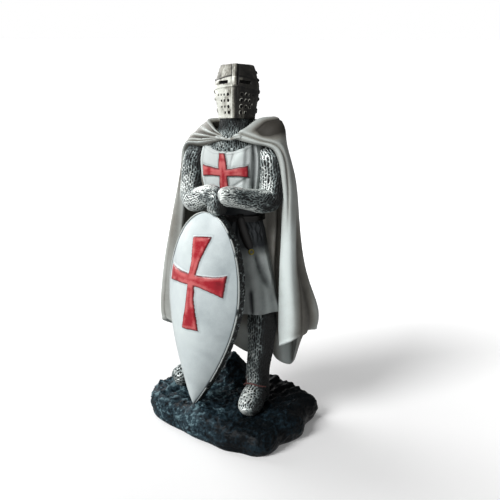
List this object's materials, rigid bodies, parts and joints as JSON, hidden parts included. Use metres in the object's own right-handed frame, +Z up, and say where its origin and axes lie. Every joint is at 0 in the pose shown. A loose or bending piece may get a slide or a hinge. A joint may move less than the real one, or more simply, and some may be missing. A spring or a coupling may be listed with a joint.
{
  "type": "knight figurine",
  "caption": "Standing helmeted crusading knight in mail, surcoat and long cloak, hands crossed on an upright kite shield with a flared cross, cast with a rough rock base.",
  "frame": {"origin": "middle of the part's bounding box on the floor, under the rock base", "axes": "+Z up; the figure faces -Y with its head turned towards +X; +X is the figure's left"},
  "size_m": [0.0967, 0.08, 0.2009],
  "materials": {
    "painted_resin": "matt off-white hobby paint with a dark wash over cast resin",
    "silver_paint": "silver dry-brushed over black on the cast mail and helmet",
    "white_paint": "satin cool white paint on the shield and surcoat, crosses picked out in red",
    "rock_paint": "matt black paint dry-brushed slate blue",
    "strap_paint": "dark brown paint on the belt, red-brown on the foot strap, gold on the ring"
  },
  "bodies": {
    "root": {"knight_figurine": "painted_resin"}
  },
  "joints": []
}
